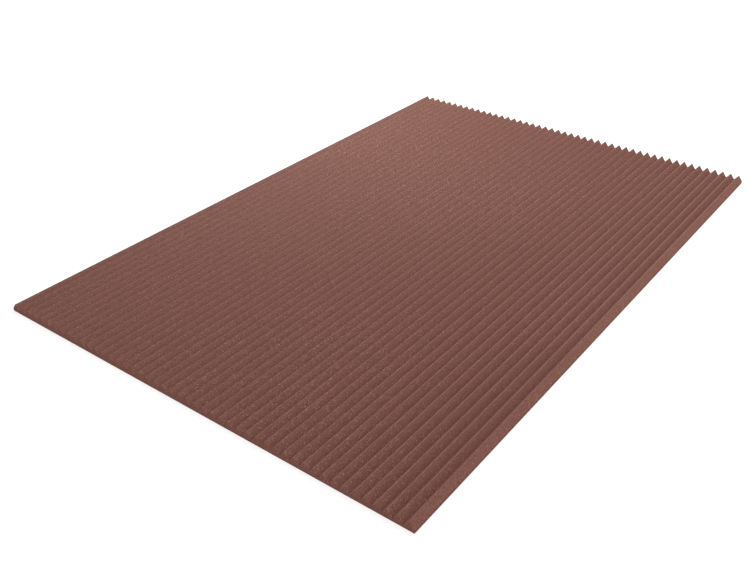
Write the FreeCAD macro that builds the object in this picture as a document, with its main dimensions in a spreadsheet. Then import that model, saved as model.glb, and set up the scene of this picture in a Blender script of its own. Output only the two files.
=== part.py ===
import FreeCAD, Part
import math
import os
import Sketcher

# Acoustic foam panel: one sheet of soft open-cell foam, sold flat and glued to a wall or ceiling.
# Its back is flat. Its face is profile cut into straight V-shaped ridges that stand foot to foot
# and run the whole length of the sheet, and all four edges are cut square.
#
# Millimetres. The origin is the middle of the flat back. X runs across the ridges, Y along them
# and Z from the back towards the crests.

PANEL_NODE = "foam_panel"
OUTPUT_FOLDER = "parts"
SIZES_LABEL = "Sizes"

# Driving sizes: name, value, what it is.
DRIVING_SIZES = [
    ("RidgeCount", 48, "ridges side by side across the sheet"),
    ("RidgePitch", 25.4, "from one crest to the next, and the width of a ridge at its foot"),
    ("RidgeHeight", 15.8, "from the bottom of a groove up to the top of a crest"),
    ("CrestRadius", 1.3, "rounding along the top of each ridge"),
    ("BaseThickness", 7.1, "solid foam between the flat back and the bottoms of the grooves"),
    ("PanelLength", 1828.8, "along the ridges"),
]

# The width follows from the ridges, which fill the sheet from edge to edge.
PANEL_WIDTH = "Sizes.RidgeCount * Sizes.RidgePitch"

# Points of a sketch element, as the sketcher numbers them.
START, END, CENTRE = 1, 2, 3
SKETCH_ORIGIN = (-1, START)


def make_size_sheet(doc):
    """The spreadsheet of driving sizes: one row each, with its name, value and meaning."""
    sheet = doc.addObject("Spreadsheet::Sheet", SIZES_LABEL)
    for row, (name, value, meaning) in enumerate(DRIVING_SIZES, start=1):
        sheet.set(f"A{row}", name)
        sheet.set(f"B{row}", str(value))
        sheet.set(f"C{row}", meaning)
        sheet.setAlias(f"B{row}", name)
    doc.recompute()
    return sheet


def origin_feature(body, role):
    """One of the body's own origin planes or axes, found by its role."""
    return next(feature for feature in body.Origin.OriginFeatures if feature.Role == role)


def add_cross_section(body, name):
    """An empty sketch of the panel's cross section: X across the ridges, upwards is Z."""
    sketch = body.newObject("Sketcher::SketchObject", name)
    sketch.AttachmentSupport = [(origin_feature(body, "XZ_Plane"), "")]
    sketch.MapMode = "FlatFace"
    return sketch


def join_ends(sketch, joints):
    """Puts the end of each named element on the start of the next."""
    for (first, first_point), (second, second_point) in joints:
        sketch.addConstraint(
            Sketcher.Constraint("Coincident", first, first_point, second, second_point)
        )


def dimension(sketch, name, kind, references, value, formula):
    """A named dimension that is tied to the driving sizes by its formula."""
    index = sketch.addConstraint(Sketcher.Constraint(kind, *references, value))
    sketch.renameConstraint(index, name)
    sketch.setExpression(f"Constraints.{name}", formula)


def sketch_base(body, sizes):
    """The backing that carries the ridges: a thin rectangle, centred, standing on the floor line."""
    half_width = sizes.RidgeCount * sizes.RidgePitch / 2
    corners = [
        FreeCAD.Vector(-half_width, 0, 0),
        FreeCAD.Vector(half_width, 0, 0),
        FreeCAD.Vector(half_width, sizes.BaseThickness, 0),
        FreeCAD.Vector(-half_width, sizes.BaseThickness, 0),
    ]
    sketch = add_cross_section(body, "base_section")
    bottom, right, top, left = [
        sketch.addGeometry(Part.LineSegment(corners[i], corners[(i + 1) % 4]), False)
        for i in range(4)
    ]
    sides = [bottom, right, top, left]
    join_ends(sketch, [((sides[i], END), (sides[(i + 1) % 4], START)) for i in range(4)])
    for side, direction in zip(sides, ["Horizontal", "Vertical", "Horizontal", "Vertical"]):
        sketch.addConstraint(Sketcher.Constraint(direction, side))
    sketch.addConstraint(
        Sketcher.Constraint("Symmetric", bottom, START, bottom, END, *SKETCH_ORIGIN)
    )
    dimension(sketch, "width", "DistanceX", (bottom, START, bottom, END), 2 * half_width, PANEL_WIDTH)
    dimension(
        sketch, "thickness", "DistanceY", (right, START, right, END),
        sizes.BaseThickness, "Sizes.BaseThickness",
    )
    return sketch


def sketch_ridge(body, sizes):
    """The first ridge, at the sheet's low-X edge: two equal flanks that a small arc joins on top."""
    half_width = sizes.RidgeCount * sizes.RidgePitch / 2
    crest_x = sizes.RidgePitch / 2 - half_width
    arc_z = sizes.BaseThickness + sizes.RidgeHeight - sizes.CrestRadius
    flank_lean = math.atan2(sizes.RidgePitch / 2, sizes.RidgeHeight)
    arc_reach_x = sizes.CrestRadius * math.cos(flank_lean)
    arc_reach_z = sizes.CrestRadius * math.sin(flank_lean)
    low_foot = FreeCAD.Vector(-half_width, sizes.BaseThickness, 0)
    high_foot = FreeCAD.Vector(sizes.RidgePitch - half_width, sizes.BaseThickness, 0)
    arc_start = FreeCAD.Vector(crest_x + arc_reach_x, arc_z + arc_reach_z, 0)
    arc_end = FreeCAD.Vector(crest_x - arc_reach_x, arc_z + arc_reach_z, 0)
    crest_top = FreeCAD.Vector(crest_x, arc_z + sizes.CrestRadius, 0)

    sketch = add_cross_section(body, "ridge_section")
    foot, high_flank, crest, low_flank = [
        sketch.addGeometry(element, False)
        for element in [
            Part.LineSegment(low_foot, high_foot),
            Part.LineSegment(high_foot, arc_start),
            Part.Arc(arc_start, crest_top, arc_end),
            Part.LineSegment(arc_end, low_foot),
        ]
    ]
    join_ends(sketch, [((foot, END), (high_flank, START)), ((low_flank, END), (foot, START))])
    sketch.addConstraint(Sketcher.Constraint("Tangent", high_flank, END, crest, START))
    sketch.addConstraint(Sketcher.Constraint("Tangent", crest, END, low_flank, START))
    sketch.addConstraint(Sketcher.Constraint("Horizontal", foot))
    sketch.addConstraint(Sketcher.Constraint("Equal", high_flank, low_flank))
    dimension(
        sketch, "foot_width", "DistanceX", (foot, START, foot, END),
        sizes.RidgePitch, "Sizes.RidgePitch",
    )
    dimension(
        sketch, "edge", "DistanceX", (foot, START, *SKETCH_ORIGIN),
        half_width, f"{PANEL_WIDTH} / 2",
    )
    dimension(
        sketch, "foot_height", "DistanceY", (*SKETCH_ORIGIN, foot, START),
        sizes.BaseThickness, "Sizes.BaseThickness",
    )
    dimension(sketch, "crest_radius", "Radius", (crest,), sizes.CrestRadius, "Sizes.CrestRadius")
    dimension(
        sketch, "crest_height", "DistanceY", (foot, START, crest, CENTRE),
        sizes.RidgeHeight - sizes.CrestRadius, "Sizes.RidgeHeight - Sizes.CrestRadius",
    )
    return sketch


def extrude_along_sheet(body, name, sketch):
    """The section carried along the whole sheet, half of it each way from the middle."""
    pad = body.newObject("PartDesign::Pad", name)
    pad.Profile = sketch
    pad.SideType = "Symmetric"
    pad.setExpression("Length", "Sizes.PanelLength")
    return pad


def make_foam_panel(doc, sizes):
    """The whole sheet as one solid: the base, the first ridge on it, and its copies across."""
    body = doc.addObject("PartDesign::Body", PANEL_NODE)
    body.Label = PANEL_NODE
    extrude_along_sheet(body, "base", sketch_base(body, sizes))
    doc.recompute()
    ridge = extrude_along_sheet(body, "first_ridge", sketch_ridge(body, sizes))
    doc.recompute()
    ridges = body.newObject("PartDesign::LinearPattern", "ridges")
    ridges.Originals = [ridge]
    ridges.Direction = (origin_feature(body, "X_Axis"), [""])
    ridges.Mode = "Spacing"
    ridges.setExpression("Offset", "Sizes.RidgePitch")
    ridges.setExpression("Occurrences", "Sizes.RidgeCount")
    body.Tip = ridges
    body.Placement = FreeCAD.Placement()
    doc.recompute()
    return body


def check_document(doc, bodies):
    """Stops before anything is written if an object failed or a sub-part has no sound solid."""
    for item in doc.Objects:
        if "Invalid" in item.State or "Error" in item.State:
            raise RuntimeError(f"{item.Label} failed: {item.State}")
    for body in bodies:
        if body.Shape.isNull() or not body.Shape.isValid() or len(body.Shape.Solids) != 1:
            raise RuntimeError(f"{body.Label} isn't one sound solid")


def write_bodies(bodies):
    """Each sub-part in a file of its own, named after it."""
    os.makedirs(OUTPUT_FOLDER, exist_ok=True)
    for body in bodies:
        body.Shape.exportStep(f"{OUTPUT_FOLDER}/{body.Label}.step")


def main():
    doc = FreeCAD.newDocument("acoustic_foam_panel")
    sizes = make_size_sheet(doc)
    bodies = [make_foam_panel(doc, sizes)]
    check_document(doc, bodies)
    write_bodies(bodies)
    for body in bodies:
        box = body.Shape.BoundBox
        print(f"{body.Label}: {box.XLength:.1f} x {box.YLength:.1f} x {box.ZLength:.1f} mm,")
        print(f"{body.Shape.Volume / 1e9:.5f} cubic metres of foam")


main()
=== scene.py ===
import math

import bmesh
import bpy
from bpy.props import (
    FloatProperty, FloatVectorProperty, IntProperty, PointerProperty,
)
from mathutils import Matrix, Quaternion, Vector, noise


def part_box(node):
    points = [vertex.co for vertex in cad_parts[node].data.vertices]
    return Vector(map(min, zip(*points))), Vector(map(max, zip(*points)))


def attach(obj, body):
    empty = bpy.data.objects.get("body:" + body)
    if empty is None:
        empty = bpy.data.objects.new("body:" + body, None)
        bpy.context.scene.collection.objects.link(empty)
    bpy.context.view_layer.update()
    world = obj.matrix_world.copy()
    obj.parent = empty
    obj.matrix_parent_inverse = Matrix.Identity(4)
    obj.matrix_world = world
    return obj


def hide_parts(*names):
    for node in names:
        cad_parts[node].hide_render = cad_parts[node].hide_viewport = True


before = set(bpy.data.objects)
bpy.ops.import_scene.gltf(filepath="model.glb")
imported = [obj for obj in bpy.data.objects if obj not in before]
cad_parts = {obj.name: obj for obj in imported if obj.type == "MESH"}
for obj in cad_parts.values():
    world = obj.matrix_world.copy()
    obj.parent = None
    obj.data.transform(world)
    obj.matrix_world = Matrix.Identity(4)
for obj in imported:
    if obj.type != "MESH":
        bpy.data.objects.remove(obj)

bl_info = {
    "name": "Acoustic foam panel",
    "version": (1, 0, 0),
    "blender": (4, 5, 0),
    "location": "3D View > Sidebar > Foam Panel",
    "description": "Dresses the packed panel as profile-cut foam and lights it on a white floor",
    "category": "Add Mesh",
}

PANEL_NODE = "foam_panel"
BODY = "root"
PIECE_NAME = "foam_sheet"

PANEL_LOW, PANEL_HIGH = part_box(PANEL_NODE)
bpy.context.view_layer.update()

# A point this near to a line, in metres, counts as on it
ON_LINE = 1e-6

# Points nearer to each other than this share of the pitch merge
MERGE_SHARE = 1 / 1000

# The flanks keep a narrow strip under the crest, this share of the crest's radius high
CREST_GUARD_SHARE = 1 / 4

# Waves per metre in the unevenness, upwards and sideways, and a shift that keeps the two unlike
HEIGHT_WAVES = 22
SIDE_WAVES = 31
SIDE_WAVES_SHIFT = Vector((5, 0, 0))

# Edges sharper than this stay crisp in the shading
CRISP_EDGE_ANGLE = math.radians(35)

# Number of the cut sides' material on the sheet, also on the outermost flanks, with walls painted
# lighter as painted light; the ridged face has number 0
CUT_MATERIAL = 1

# The colour sockets of a Mix node, by their numbers
MIX_COLOR_INPUTS = (6, 7)
MIX_COLOR_OUTPUT = 2

# Inputs of the grain's node group, each with the setting that fills it
GRAIN_SETTINGS = {
    "Cell Size": "cell_size",
    "Mottle Size": "mottle_size",
    "Speck Size": "glint_size",
    "Speck Share": "glint_share",
    "Patch Size": "patch_size",
    "Patch Seed": "patch_seed",
}

# Distances from a cell's middle, in cell sizes, over which the pore, in painted shade, turns into
# the wall
PORE_TO_WALL = (0.28, 0.70)

# Noise values over which the clusters of cells turn from dark to pale
DARK_TO_PALE = (0.35, 0.65)

# Distances from a painted glint's middle, in glint spacings, over which the glint fades
GLINT_FADE = (0.43, 0.66)

# How strongly the single cells fray a painted glint's edge
GLINT_FRAY = 0.35

# Noise values over which a broad patch of denser painted glints rises, and the share of glints kept
# between patches
PATCH_RISE = (0.50, 0.74)
GLINTS_BETWEEN_PATCHES = 0.12

# Weights of the single cells in the shade and in the height
CELL_SHADE_WEIGHT = 0.42
CELL_HEIGHT_WEIGHT = 0.7

FOAM_ROUGHNESS = 0.8

# Bump of the grain: its strength, and its depths in metres
RELIEF_STRENGTH = 0.4
RIDGED_RELIEF_DEPTH = 0.0003
CUT_RELIEF_DEPTH = 0.0004

WHITE = (1.0, 1.0, 1.0, 1.0)

# The floor's shade, its lift for the camera, and its drop under the panel in metres
FLOOR_COLOR = (0.6, 0.6, 0.6, 1.0)
FLOOR_LIFT = 0.725
FLOOR_DROP = 0.0003

# Each light box: its name, where it hangs, the point that it faces and the setting of its power
LIGHT_BOXES = [
    ("overhead_light", (0.1, 0.8, 2.0), (0.1, 0.8, 0.0), "overhead_power"),
    ("corner_light", (-0.9, 0.9, 1.2), (-0.9, 0.9, 0.0), "corner_power"),
    ("side_light", (1.6, 0.2, 0.8), (0.0, 0.2, 0.0), "side_power"),
]
LIGHT_BOX_WIDTH = 1.0
LIGHT_BOX_LENGTH = 1.6

# The camera's sensor in millimetres, and the nearest and farthest it sees in metres
SENSOR_WIDTH = 36.0
CLIP_NEAR = 0.01
CLIP_FAR = 100.0


class FoamSheetSettings(bpy.types.PropertyGroup):
    """The shape of the sheet."""

    ridge_count: IntProperty(
        name="Ridges", description="Ridges side by side across the sheet", default=48, min=2,
    )
    base_thickness: FloatProperty(
        name="Base thickness", description="Solid foam under the bottoms of the grooves",
        default=0.0071, precision=5, unit="LENGTH",
    )
    crest_radius: FloatProperty(
        name="Crest radius", description="Rounding along the top of each ridge",
        default=0.0013, precision=5, unit="LENGTH",
    )
    crest_segments: IntProperty(
        name="Crest segments", description="Strips that make the rounding", default=4, min=2,
    )
    flank_strips: IntProperty(
        name="Flank strips", description="Strips from a groove up to a crest", default=3, min=1,
    )
    length_rows: IntProperty(
        name="Rows", description="Rows of faces along the sheet", default=120, min=1,
    )
    unevenness: FloatProperty(
        name="Unevenness", description="How far the cut surface wanders from straight",
        default=0.00012, precision=5, unit="LENGTH",
    )


class FoamFinishSettings(bpy.types.PropertyGroup):
    """The colour and the grain of the foam."""

    # Painted shade down in the pores, which also gives the dark end of the random mottle
    pore_shade_and_dark_tone_color: FloatVectorProperty(
        name="Pores", description="Colour down inside the open cells", subtype="COLOR", size=3,
        min=0.0, max=1.0, default=(0.200, 0.073, 0.055),
    )
    wall_color: FloatVectorProperty(
        name="Cell walls", description="Colour of the walls between the cells", subtype="COLOR",
        size=3, min=0.0, max=1.0, default=(0.495, 0.219, 0.174),
    )
    # Painted light: lighter walls that stand in for the brighter light on the cut sides and the
    # outermost flanks
    cut_wall_painted_light_color: FloatVectorProperty(
        name="Cut cell walls", description="The same where the outer sides are cut, a fuller red",
        subtype="COLOR", size=3, min=0.0, max=1.0, default=(0.590, 0.264, 0.213),
    )
    # Painted glints: pale specks that stand in for light caught by the cell walls
    painted_glint_color: FloatVectorProperty(
        name="Specks", description="Colour of the pale specks", subtype="COLOR", size=3,
        min=0.0, max=1.0, default=(0.97, 0.56, 0.46),
    )
    face_gloss: FloatProperty(
        name="Face gloss", description="Specular level of the ridged face; the cut sides have none",
        default=0.33, min=0.0, max=1.0, subtype="FACTOR",
    )
    cell_size: FloatProperty(
        name="Cell size", description="Across one open cell of the foam",
        default=0.0012, precision=5, unit="LENGTH",
    )
    mottle_size: FloatProperty(
        name="Mottle size", description="Across the small paler and darker clusters of cells",
        default=0.0036, precision=5, unit="LENGTH",
    )
    # Spacing and share of the places that hold a painted glint
    glint_size: FloatProperty(
        name="Speck size", description="Spacing of the places where a pale speck may lie",
        default=0.0025, precision=5, unit="LENGTH",
    )
    glint_share: FloatProperty(
        name="Speck share", description="Share of those places that hold one, where most do",
        default=0.25, min=0.0, max=1.0, subtype="FACTOR",
    )
    # Broad patches with denser painted glints
    patch_size: FloatProperty(
        name="Patch size", description="Across the broad patches with denser specks",
        default=0.625, precision=3, unit="LENGTH",
    )
    patch_seed: FloatProperty(
        name="Patch seed", description="Picks another lie of those patches", default=378.0,
    )


class StudioSettings(bpy.types.PropertyGroup):
    """The floor, the lights and the camera."""

    floor_size: FloatProperty(
        name="Floor", description="Side of the square floor", default=16.0, unit="LENGTH",
    )
    ambient: FloatProperty(
        name="Ambient", description="Strength of the even light from all round", default=0.475,
    )
    overhead_power: FloatProperty(
        name="Overhead", description="Light box over the far half of the panel", default=17.6,
        unit="POWER",
    )
    corner_power: FloatProperty(
        name="Corner", description="Lower light box beside the far low-X corner", default=10.0,
        unit="POWER",
    )
    side_power: FloatProperty(
        name="Side", description="Faint light box low down on the high-X side", default=1.0,
        unit="POWER",
    )
    box_color: FloatVectorProperty(
        name="Box colour", description="Colour of the light boxes, a little cooler than the room",
        subtype="COLOR", size=3, min=0.0, max=1.0, default=(0.79, 0.99, 1.0),
    )
    camera_place: FloatVectorProperty(
        name="Camera", description="Where the camera stands", subtype="XYZ", size=3,
        default=(1.2467, -1.8853, 1.2607), precision=4, unit="LENGTH",
    )
    camera_azimuth: FloatProperty(
        name="Azimuth", description="Direction of view: 0 looks along +Y and 90 along -X",
        default=math.radians(36.837), subtype="ANGLE",
    )
    camera_elevation: FloatProperty(
        name="Elevation", description="How far the view tips down",
        default=math.radians(31.833), subtype="ANGLE",
    )
    camera_roll: FloatProperty(
        name="Roll", description="Turn of the picture about the line of sight",
        default=math.radians(0.0285), subtype="ANGLE",
    )
    camera_lens: FloatProperty(
        name="Lens", description="Focal length in millimetres, for a sensor 36 mm wide",
        default=43.5476, precision=4,
    )


def place_in_scene(name, mesh_builder, materials):
    """A new object at the origin, with the finished bmesh as its mesh."""
    mesh = bpy.data.meshes.new(name)
    mesh_builder.to_mesh(mesh)
    mesh_builder.free()
    for material in materials:
        mesh.materials.append(material)
    piece = bpy.data.objects.new(name, mesh)
    bpy.context.scene.collection.objects.link(piece)
    return piece


def whole_mesh(mesh_builder):
    """All points, edges and faces of a bmesh in one list."""
    return mesh_builder.verts[:] + mesh_builder.edges[:] + mesh_builder.faces[:]


def flank_slope(half_pitch, rise, radius):
    """Slope of a flank that leaves the groove and runs tangent into the crest's rounding."""
    arc_rise = rise - radius
    return math.atan2(arc_rise, half_pitch) + math.asin(radius / math.hypot(half_pitch, arc_rise))


def start_sharp_ridge(low, high, pitch, groove_z, sharp_z):
    """The two flanks of the first ridge along the panel, which meet in a sharp crest."""
    ridge = bmesh.new()
    first_foot = ridge.verts.new((low.x, low.y, groove_z))
    sharp_crest = ridge.verts.new((low.x + pitch / 2, low.y, sharp_z))
    second_foot = ridge.verts.new((low.x + pitch, low.y, groove_z))
    profile = [
        ridge.edges.new((first_foot, sharp_crest)),
        ridge.edges.new((sharp_crest, second_foot)),
    ]
    grown = bmesh.ops.extrude_edge_only(ridge, edges=profile)["geom"]
    far_end = [item for item in grown if isinstance(item, bmesh.types.BMVert)]
    bmesh.ops.translate(ridge, verts=far_end, vec=(0, high.y - low.y, 0))
    return ridge


def round_crest(ridge, sharp_z, slope, settings):
    """Bevels the sharp crest to its rounding."""
    crest_edges = [
        edge for edge in ridge.edges
        if all(abs(vert.co.z - sharp_z) < ON_LINE for vert in edge.verts)
    ]
    bmesh.ops.bevel(
        ridge, geom=crest_edges, offset=settings.crest_radius * math.tan(slope),
        offset_type="OFFSET", segments=settings.crest_segments, profile=0.5,
        affect="EDGES", material=-1,
    )


def divide_ridge(ridge, groove_z, sharp_z, pitch, settings):
    """Cuts strips up the flanks and rows along the ridge."""
    flank_top_z = min(
        vert.co.z for vert in ridge.verts if vert.co.z > (groove_z + sharp_z) / 2
    )
    top_cut_z = flank_top_z - settings.crest_radius * CREST_GUARD_SHARE
    for strip in range(1, settings.flank_strips + 1):
        cut_z = groove_z + (top_cut_z - groove_z) * strip / settings.flank_strips
        bmesh.ops.bisect_plane(
            ridge, geom=whole_mesh(ridge), plane_co=(0, 0, cut_z), plane_no=(0, 0, 1),
        )
    long_edges = [
        edge for edge in ridge.edges if abs(edge.verts[0].co.y - edge.verts[1].co.y) > pitch
    ]
    bmesh.ops.subdivide_edges(
        ridge, edges=long_edges, cuts=settings.length_rows - 1, use_grid_fill=True,
    )


def repeat_ridge(sheet, pitch, count):
    """Copies the ridge side by side and joins the copies at the bottoms of the grooves."""
    bmesh.ops.spin(
        sheet, geom=whole_mesh(sheet), cent=(0, 0, 0), axis=(0, 0, 1), dvec=(pitch, 0, 0),
        angle=0, steps=count - 1, use_duplicate=True,
    )
    bmesh.ops.remove_doubles(sheet, verts=sheet.verts, dist=pitch * MERGE_SHARE)


def make_uneven(sheet, low, high, unevenness):
    """Lets the cut surface wander up, down and sideways. The two long sides stay straight."""
    for vert in sheet.verts:
        vert.co.z += unevenness * noise.noise(vert.co * HEIGHT_WAVES)
        if min(vert.co.x - low.x, high.x - vert.co.x) > ON_LINE:
            vert.co.x += unevenness * noise.noise(vert.co * SIDE_WAVES + SIDE_WAVES_SHIFT)


def close_sides_and_back(sheet, back_z):
    """Square sides down from the rim, and one flat face across the back; returns them all."""
    rim = [edge for edge in sheet.edges if edge.is_boundary]
    grown = bmesh.ops.extrude_edge_only(sheet, edges=rim)["geom"]
    for item in grown:
        if isinstance(item, bmesh.types.BMVert):
            item.co.z = back_z
    sides = [item for item in grown if isinstance(item, bmesh.types.BMFace)]
    back_rim = [edge for edge in sheet.edges if edge.is_boundary]
    return sides + bmesh.ops.contextual_create(sheet, geom=back_rim)["faces"]


def faces_near_long_sides(sheet, low, high, reach):
    """The faces whose middles lie within that reach of a long side."""
    near = []
    for face in sheet.faces:
        middle_x = face.calc_center_median().x
        if min(middle_x - low.x, high.x - middle_x) < reach:
            near.append(face)
    return near


def build_foam_sheet(settings):
    """The ridges cut from one profile, and the square cut sides and flat back that close it."""
    low, high = PANEL_LOW, PANEL_HIGH
    pitch = (high.x - low.x) / settings.ridge_count
    groove_z = low.z + settings.base_thickness
    slope = flank_slope(pitch / 2, high.z - groove_z, settings.crest_radius)
    sharp_z = groove_z + pitch / 2 * math.tan(slope)

    sheet = start_sharp_ridge(low, high, pitch, groove_z, sharp_z)
    round_crest(sheet, sharp_z, slope, settings)
    divide_ridge(sheet, groove_z, sharp_z, pitch, settings)
    repeat_ridge(sheet, pitch, settings.ridge_count)
    make_uneven(sheet, low, high, settings.unevenness)

    cut_faces = close_sides_and_back(sheet, low.z)
    # The cut sides and the outermost flanks take the material whose walls are painted lighter, as
    # painted light
    flank_reach = pitch / 2 - settings.crest_radius
    outer_flanks = faces_near_long_sides(sheet, low, high, flank_reach)
    for face in cut_faces + outer_flanks:
        face.material_index = CUT_MATERIAL
    bmesh.ops.recalc_face_normals(sheet, faces=sheet.faces)
    return sheet


def add_node(tree, kind, place, **inputs):
    """A node of that kind, with the named inputs set. Underscores in a name stand for spaces."""
    node = tree.nodes.new(kind)
    node.location = place
    for name, value in inputs.items():
        node.inputs[name.replace("_", " ")].default_value = value
    return node


def add_math(tree, operation, place, first, second):
    """A Math node whose two inputs are sockets or plain numbers; returns its output."""
    node = tree.nodes.new("ShaderNodeMath")
    node.operation = operation
    node.location = place
    for index, value in enumerate([first, second]):
        if isinstance(value, bpy.types.NodeSocket):
            tree.links.new(value, node.inputs[index])
        else:
            node.inputs[index].default_value = value
    return node.outputs[0]


def add_range(tree, place, value, from_range, to_range=(0.0, 1.0)):
    """A Map Range node from one range of numbers to another, clamped; returns its output."""
    node = add_node(
        tree, "ShaderNodeMapRange", place,
        From_Min=from_range[0], From_Max=from_range[1], To_Min=to_range[0], To_Max=to_range[1],
    )
    tree.links.new(value, node.inputs["Value"])
    return node.outputs["Result"]


def add_color_mix(tree, place, factor, first, second):
    """A Mix node between two colours, each a socket or a colour; returns its output."""
    node = tree.nodes.new("ShaderNodeMix")
    node.data_type = "RGBA"
    node.location = place
    tree.links.new(factor, node.inputs["Factor"])
    for index, value in zip(MIX_COLOR_INPUTS, [first, second]):
        if isinstance(value, bpy.types.NodeSocket):
            tree.links.new(value, node.inputs[index])
        else:
            node.inputs[index].default_value = (*value, 1.0)
    return node.outputs[MIX_COLOR_OUTPUT]


def make_foam_grain():
    """Node group: the open cells of foam, as a shade with painted shade in the pores, a mask of
    painted glints and a height.
    """
    group = bpy.data.node_groups.new("foam_grain", "ShaderNodeTree")
    group.interface.new_socket("Position", in_out="INPUT", socket_type="NodeSocketVector")
    for name in GRAIN_SETTINGS:
        group.interface.new_socket(name, in_out="INPUT", socket_type="NodeSocketFloat")
    for name in ["Shade", "Specks", "Height"]:
        group.interface.new_socket(name, in_out="OUTPUT", socket_type="NodeSocketFloat")
    start = add_node(group, "NodeGroupInput", (-1100, 0))
    end = add_node(group, "NodeGroupOutput", (700, 0))
    link = group.links.new

    def scaled_texture(kind, place, size_socket, **inputs):
        """A texture on the position, whose features are as large as that size."""
        texture = add_node(group, kind, place, **inputs)
        link(start.outputs["Position"], texture.inputs["Vector"])
        scale = add_math(group, "DIVIDE", (place[0] - 200, place[1]), 1.0, size_socket)
        link(scale, texture.inputs["Scale"])
        return texture

    cells = scaled_texture(
        "ShaderNodeTexVoronoi", (-700, 400), start.outputs["Cell Size"], Randomness=1.0,
    )
    mottle = scaled_texture(
        "ShaderNodeTexNoise", (-700, 100), start.outputs["Mottle Size"],
        Detail=3.0, Roughness=0.8,
    )
    spots = scaled_texture(
        "ShaderNodeTexVoronoi", (-700, -200), start.outputs["Speck Size"], Randomness=1.0,
    )
    patches = scaled_texture(
        "ShaderNodeTexNoise", (-700, -500), start.outputs["Patch Size"],
        Detail=0.0, Roughness=0.5,
    )
    patches.noise_dimensions = "4D"
    link(start.outputs["Patch Seed"], patches.inputs["W"])

    # Which places hold a painted glint, how it fades at its frayed edge, and how strong it is
    draw = add_node(group, "ShaderNodeSeparateColor", (-500, -350))
    link(spots.outputs["Color"], draw.inputs["Color"])
    patchiness = add_range(
        group, (-500, -600), patches.outputs["Fac"], PATCH_RISE, (GLINTS_BETWEEN_PATCHES, 1.0),
    )
    local_share = add_math(
        group, "MULTIPLY", (-300, -500), start.outputs["Speck Share"], patchiness,
    )
    chosen = add_math(group, "LESS_THAN", (-300, -350), draw.outputs["Red"], local_share)
    fray = add_math(group, "MULTIPLY", (-500, -100), cells.outputs["Distance"], GLINT_FRAY)
    frayed = add_math(group, "ADD", (-400, -200), spots.outputs["Distance"], fray)
    dot = add_range(group, (-300, -200), frayed, GLINT_FADE, (1.0, 0.0))
    chosen_dot = add_math(group, "MULTIPLY", (-100, -300), chosen, dot)
    painted_glints = add_math(group, "MULTIPLY", (0, -300), chosen_dot, draw.outputs["Green"])

    # The shade, from the painted shade of the pores and the random mottle, and the height
    cell_shade = add_range(group, (-400, 400), cells.outputs["Distance"], PORE_TO_WALL)
    mottle_shade = add_range(group, (-400, 100), mottle.outputs["Fac"], DARK_TO_PALE)
    shade = add_math(
        group, "ADD", (-100, 150),
        add_math(group, "MULTIPLY", (-250, 300), cell_shade, CELL_SHADE_WEIGHT),
        add_math(group, "MULTIPLY", (-250, 100), mottle_shade, 1 - CELL_SHADE_WEIGHT),
    )
    height = add_math(
        group, "ADD", (100, -100),
        add_math(group, "MULTIPLY", (0, 200), cell_shade, CELL_HEIGHT_WEIGHT), painted_glints,
    )
    link(shade, end.inputs["Shade"])
    link(painted_glints, end.inputs["Specks"])
    link(height, end.inputs["Height"])
    return group


def make_foam_material(name, grain, finish, wall_color, gloss, relief_depth):
    """Open-cell foam: pores darkened with painted shade, paler cell walls and painted glints, some
    fainter than others.
    """
    material = bpy.data.materials.new(name)
    material.use_nodes = True
    tree = material.node_tree
    link = tree.links.new
    shader = tree.nodes["Principled BSDF"]
    shader.inputs["Roughness"].default_value = FOAM_ROUGHNESS
    shader.inputs["Specular IOR Level"].default_value = gloss

    place = add_node(tree, "ShaderNodeTexCoord", (-900, 0))
    cells = add_node(tree, "ShaderNodeGroup", (-700, 0))
    cells.node_tree = grain
    link(place.outputs["Object"], cells.inputs["Position"])
    for input_name, setting in GRAIN_SETTINGS.items():
        cells.inputs[input_name].default_value = getattr(finish, setting)

    # The painted shade of the pores mixed with the random mottle
    foam = add_color_mix(
        tree, (-300, 200), cells.outputs["Shade"], finish.pore_shade_and_dark_tone_color, wall_color,
    )
    # The painted glints mixed into the colour
    with_painted_glints = add_color_mix(
        tree, (-100, 200), cells.outputs["Specks"], foam, finish.painted_glint_color,
    )
    link(with_painted_glints, shader.inputs["Base Color"])
    relief = add_node(
        tree, "ShaderNodeBump", (-300, -200), Strength=RELIEF_STRENGTH, Distance=relief_depth,
    )
    link(cells.outputs["Height"], relief.inputs["Height"])
    link(relief.outputs["Normal"], shader.inputs["Normal"])
    return material


class FOAM_OT_add_sheet(bpy.types.Operator):
    """Make the ridged foam sheet in place of the plain solid"""

    bl_idname = "foam_panel.add_sheet"
    bl_label = "Add Foam Sheet"

    def execute(self, context):
        settings = context.scene.foam_sheet
        finish = context.scene.foam_finish
        grain = make_foam_grain()
        ridged = make_foam_material(
            "foam_ridged_face", grain, finish, finish.wall_color,
            gloss=finish.face_gloss, relief_depth=RIDGED_RELIEF_DEPTH,
        )
        # The cut sides' material, with its walls painted lighter as painted light
        cut = make_foam_material(
            "foam_cut_sides", grain, finish, finish.cut_wall_painted_light_color,
            gloss=0.0, relief_depth=CUT_RELIEF_DEPTH,
        )
        piece = place_in_scene(PIECE_NAME, build_foam_sheet(settings), [ridged, cut])
        piece.data.shade_smooth()
        piece.data.set_sharp_from_angle(angle=CRISP_EDGE_ANGLE)
        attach(piece, BODY)
        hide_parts(PANEL_NODE)
        return {"FINISHED"}


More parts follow.
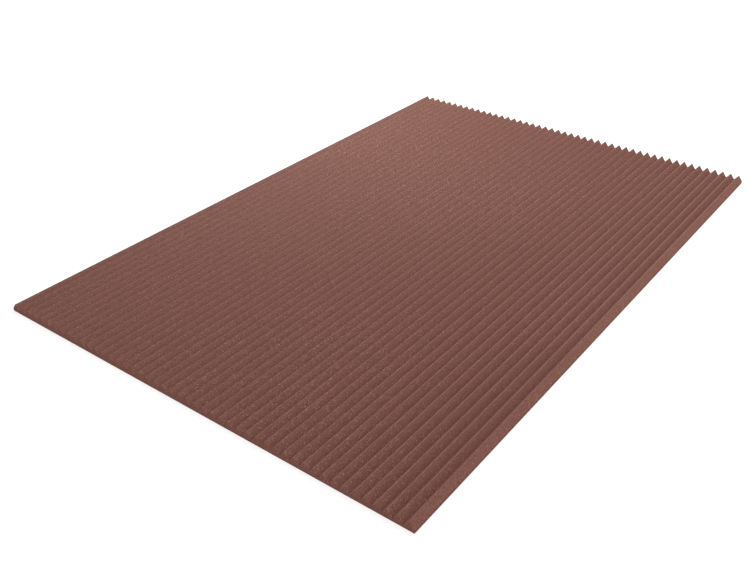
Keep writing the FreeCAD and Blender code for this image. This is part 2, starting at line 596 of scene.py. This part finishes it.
def make_floor_material():
    """Matt pale grey, lifted for the camera alone so that it reads as white outside the shadow."""
    material = bpy.data.materials.new("studio_floor")
    material.use_nodes = True
    tree = material.node_tree
    shader = tree.nodes["Principled BSDF"]
    shader.inputs["Base Color"].default_value = FLOOR_COLOR
    shader.inputs["Roughness"].default_value = 1.0
    shader.inputs["Specular IOR Level"].default_value = 0.0
    shader.inputs["Emission Color"].default_value = WHITE
    rays = add_node(tree, "ShaderNodeLightPath", (-300, 300))
    lift = add_math(tree, "MULTIPLY", (-100, 300), rays.outputs["Is Camera Ray"], FLOOR_LIFT)
    tree.links.new(lift, shader.inputs["Emission Strength"])
    return material


def make_white_world(ambient):
    """White to the camera, and an even light of its own strength on everything else."""
    world = bpy.data.worlds.new("studio_white")
    world.use_nodes = True
    tree = world.node_tree
    link = tree.links.new
    seen = tree.nodes["Background"]
    seen.inputs["Color"].default_value = WHITE
    seen.inputs["Strength"].default_value = 1.0
    light = add_node(
        tree, "ShaderNodeBackground", (-200, -200), Color=WHITE, Strength=ambient,
    )
    rays = add_node(tree, "ShaderNodeLightPath", (-200, 300))
    either = add_node(tree, "ShaderNodeMixShader", (100, 100))
    link(rays.outputs["Is Camera Ray"], either.inputs[0])
    link(light.outputs["Background"], either.inputs[1])
    link(seen.outputs["Background"], either.inputs[2])
    link(either.outputs["Shader"], tree.nodes["World Output"].inputs["Surface"])
    bpy.context.scene.world = world


def set_up(name, data, place, turn):
    """A light or a camera as a new object at that place, turned that way."""
    item = bpy.data.objects.new(name, data)
    bpy.context.scene.collection.objects.link(item)
    item.matrix_world = Matrix.Translation(place) @ turn.to_matrix().to_4x4()
    return item


def add_light_box(name, place, aim, power, color):
    """A rectangular soft light turned to face a point. The camera doesn't see it."""
    data = bpy.data.lights.new(name, "AREA")
    data.shape = "RECTANGLE"
    data.size = LIGHT_BOX_WIDTH
    data.size_y = LIGHT_BOX_LENGTH
    data.energy = power
    data.color = color
    turn = (Vector(aim) - Vector(place)).to_track_quat("-Z", "Y")
    box = set_up(name, data, place, turn)
    box.visible_camera = False


def add_camera(studio):
    """The camera at the photograph's angle."""
    data = bpy.data.cameras.new("camera")
    data.sensor_width = SENSOR_WIDTH
    data.lens = studio.camera_lens
    data.clip_start = CLIP_NEAR
    data.clip_end = CLIP_FAR
    azimuth, elevation = studio.camera_azimuth, studio.camera_elevation
    sight = Vector((
        -math.sin(azimuth) * math.cos(elevation),
        math.cos(azimuth) * math.cos(elevation),
        -math.sin(elevation),
    ))
    turn = sight.to_track_quat("-Z", "Y") @ Quaternion((0, 0, 1), studio.camera_roll)
    bpy.context.scene.camera = set_up("camera", data, studio.camera_place, turn)


class FOAM_OT_add_studio(bpy.types.Operator):
    """Make the white floor, the soft lights and the camera"""

    bl_idname = "foam_panel.add_studio"
    bl_label = "Add Studio"

    def execute(self, context):
        studio = context.scene.foam_studio
        context.scene.view_settings.view_transform = "Standard"
        floor_mesh = bmesh.new()
        bmesh.ops.create_grid(floor_mesh, x_segments=1, y_segments=1, size=studio.floor_size / 2)
        bmesh.ops.translate(floor_mesh, verts=floor_mesh.verts, vec=(0, 0, -FLOOR_DROP))
        floor = place_in_scene("studio_floor", floor_mesh, [make_floor_material()])
        make_white_world(studio.ambient)
        for name, place, aim, power_setting in LIGHT_BOXES:
            add_light_box(name, place, aim, getattr(studio, power_setting), studio.box_color)
        add_camera(studio)
        return {"FINISHED"}


class FOAM_PT_panel(bpy.types.Panel):
    """The sidebar tab with the sizes, the finish and the studio"""

    bl_idname = "FOAM_PT_panel"
    bl_label = "Acoustic Foam Panel"
    bl_space_type = "VIEW_3D"
    bl_region_type = "UI"
    bl_category = "Foam Panel"

    def draw(self, context):
        scene = context.scene
        for settings, operator in [
            (scene.foam_sheet, None),
            (scene.foam_finish, FOAM_OT_add_sheet.bl_idname),
            (scene.foam_studio, FOAM_OT_add_studio.bl_idname),
        ]:
            column = self.layout.column()
            for name in settings.__annotations__:
                column.prop(settings, name)
            if operator:
                column.operator(operator)


CLASSES = [
    FoamSheetSettings, FoamFinishSettings, StudioSettings,
    FOAM_OT_add_sheet, FOAM_OT_add_studio, FOAM_PT_panel,
]


def register():
    for cls in CLASSES:
        bpy.utils.register_class(cls)
    bpy.types.Scene.foam_sheet = PointerProperty(type=FoamSheetSettings)
    bpy.types.Scene.foam_finish = PointerProperty(type=FoamFinishSettings)
    bpy.types.Scene.foam_studio = PointerProperty(type=StudioSettings)


def unregister():
    del bpy.types.Scene.foam_studio
    del bpy.types.Scene.foam_finish
    del bpy.types.Scene.foam_sheet
    for cls in reversed(CLASSES):
        bpy.utils.unregister_class(cls)


def main():
    register()
    bpy.ops.foam_panel.add_sheet()
    bpy.ops.foam_panel.add_studio()


if __name__ == "__main__":
    main()
